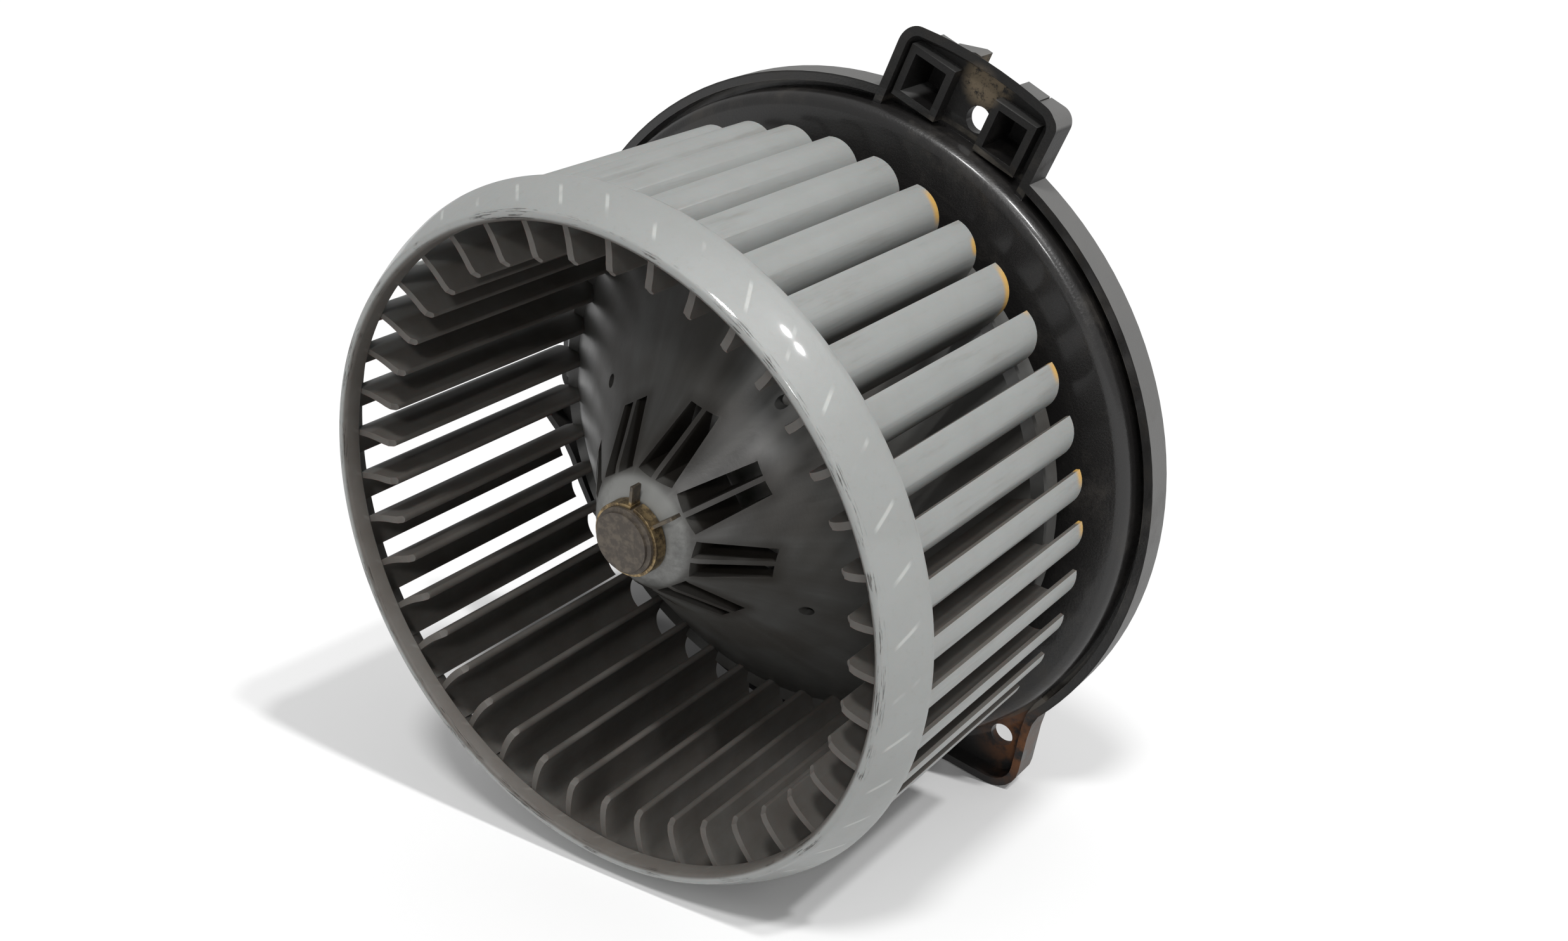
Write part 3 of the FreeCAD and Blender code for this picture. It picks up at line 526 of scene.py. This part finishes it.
# Painted shade: the slots' pockets, below the cone's face, are painted near black.
below = p.y - (p.radius - cone_face)
pocket_shade = p.ease(below, 0.0003, 0.0014) * p.ease(p.radius, slot_in - 0.0011, slot_in - 0.0004)
pocket_shade = pocket_shade * p.ease(p.radius, slot_out + 0.0022, slot_out + 0.0016)
colour = p.mix(pocket_shade * 0.9, colour, (0.012, 0.010, 0.008))
nose = p.ease(p.radius, 0.0085, 0.0078)
dirt = p.mix(p.ease(fine, 0.40, 0.65), (0.040, 0.031, 0.023), (0.080, 0.064, 0.046))
colour = p.mix(nose * 0.95, colour, dirt)
rough = 0.26 + 0.20 * sweep + 0.05 * spokes + 0.25 * nose - 0.04 * collar
hub_plastic = p.finish(colour, rough, fine * 0.3 + sweep, 0.00014)
fit(from_cad("fan_hub", 0.00025), "rotor", "hub_plastic", hub_plastic, "fan_hub")

# Spring clamp: a band of brassy spring steel that squeezes the neck on the shaft; its two ends
# are bent up as dark tangs for the pliers.

p = Paint("clamp_spring_steel")
stain = p.noise(0.0016, 5.0, 0.65)
far = p.ease(p.radius, 0.0088, 0.0096)
colour = p.mix(p.ease(stain, 0.38, 0.62), (0.34, 0.25, 0.13), (0.115, 0.085, 0.052))
colour = p.mix(far * 0.85, colour, (0.045, 0.040, 0.035))
clamp_steel = p.finish(colour, 0.30 + 0.3 * stain, stain, 0.00008, 0.9 - 0.5 * far)
fit(from_cad("hub_clamp", 0.00012), "rotor", "clamp_steel", clamp_steel, "hub_clamp")

# ---------------------------------------------------------------------------------------------
# Rear cover: black plastic lid with the plug shell moulded on, held to the collar by three
# screws. The screws are zinc-plated pan heads with a cross recess.

p, colour, dust, grain, cloud = black_plastic("cover_black_plastic")
cover_black = p.finish(colour, 0.40 + dust * 0.25 + 0.12 * cloud, grain * 0.5 + cloud, 0.00012)
fit(from_cad("rear_cover", 0.0004), "stator", "flange_plastic", cover_black, "rear_cover")
screw_zinc = plain_metal("screw_zinc", (0.52, 0.52, 0.50), (0.32, 0.29, 0.24), 0.28)
for node in ("cover_screws", "bracket_screws"):
    fit(from_cad(node, 0.0003), "stator", "screw_steel", screw_zinc, node)

# ---------------------------------------------------------------------------------------------
# The studio: a wide white table top under the part, tipped as the part rests on it, with a shadow
# painted dark on it below the wheel, soft light all round, two close lamps high on the right and
# one in front and one above.

down = Vector((0.030, 0.095, 0.995)).normalized()
lowest = min(down.dot(v.co) for n in ("mounting_flange", "fan_ring") for v in frame["nodes"][n].data.vertices)
mesh = bpy.data.meshes.new("table_top")
across = down.orthogonal().normalized()
other = down.cross(across)
spread = 9.0
mesh.from_pydata([down * (lowest - 0.0001) + a * spread * across + b * spread * other
                  for a, b in ((-1, -1), (1, -1), (1, 1), (-1, 1))], [], [(0, 1, 2, 3)])
floor = bpy.data.objects.new("table_top", mesh)
bpy.context.scene.collection.objects.link(floor)
p = Paint("white_table")
below_wheel = Vector((-0.070, 0.020, -0.088))
# Painted shadow: the table is painted dark round a point below the wheel.
shade = p.spot(below_wheel, 0.054, 0.080) * 0.92
colour = p.mix(shade, (0.66, 0.66, 0.66), (0.02, 0.02, 0.02))
floor.data.materials.append(p.finish(colour, 0.80 + 0.1 * p.noise(0.08)))

world = bpy.data.worlds.new("soft_room")
bpy.context.scene.world = world
world.use_nodes = True
world.node_tree.nodes["Background"].inputs[0].default_value = (1.0, 1.0, 1.0, 1.0)
world.node_tree.nodes["Background"].inputs[1].default_value = 0.50


def lamp(name, towards, spread, power):
    """A far lamp in that direction, whose disc is spread degrees wide."""
    light = bpy.data.lights.new(name, "SUN")
    light.angle = math.radians(spread)
    light.energy = power
    holder = bpy.data.objects.new(name, light)
    holder.location = Vector(towards)
    holder.rotation_mode = "QUATERNION"
    holder.rotation_quaternion = (-Vector(towards)).to_track_quat("-Z", "Y")
    bpy.context.scene.collection.objects.link(holder)


lamp("right_lamp", (0.533, -0.040, 0.844), 3.0, 1.1)
lamp("right_lamp_lower", (0.612, -0.052, 0.787), 3.0, 1.1)
lamp("front_lamp", (0.50, -0.67, 0.54), 6.0, 0.8)
lamp("top_lamp", (0.25, -0.33, 0.90), 9.0, 1.6)

lens = bpy.data.cameras.new("camera")
lens.sensor_width = 36.0
lens.lens = 38.67
lens.clip_start = 0.01
camera = bpy.data.objects.new("camera", lens)
right = Vector((0.80359, 0.58973, -0.08035))
up = Vector((-0.15533, 0.33811, 0.92822))
ahead = Vector((-0.57456, 0.73342, -0.36331))
facing = Matrix((right, up, -ahead)).transposed().to_4x4()
camera.matrix_world = Matrix.Translation((0.2325, -0.3191, 0.1423)) @ facing
bpy.context.scene.collection.objects.link(camera)
bpy.context.scene.camera = camera
bpy.context.scene.view_settings.view_transform = "Standard"

bpy.context.view_layer.update()
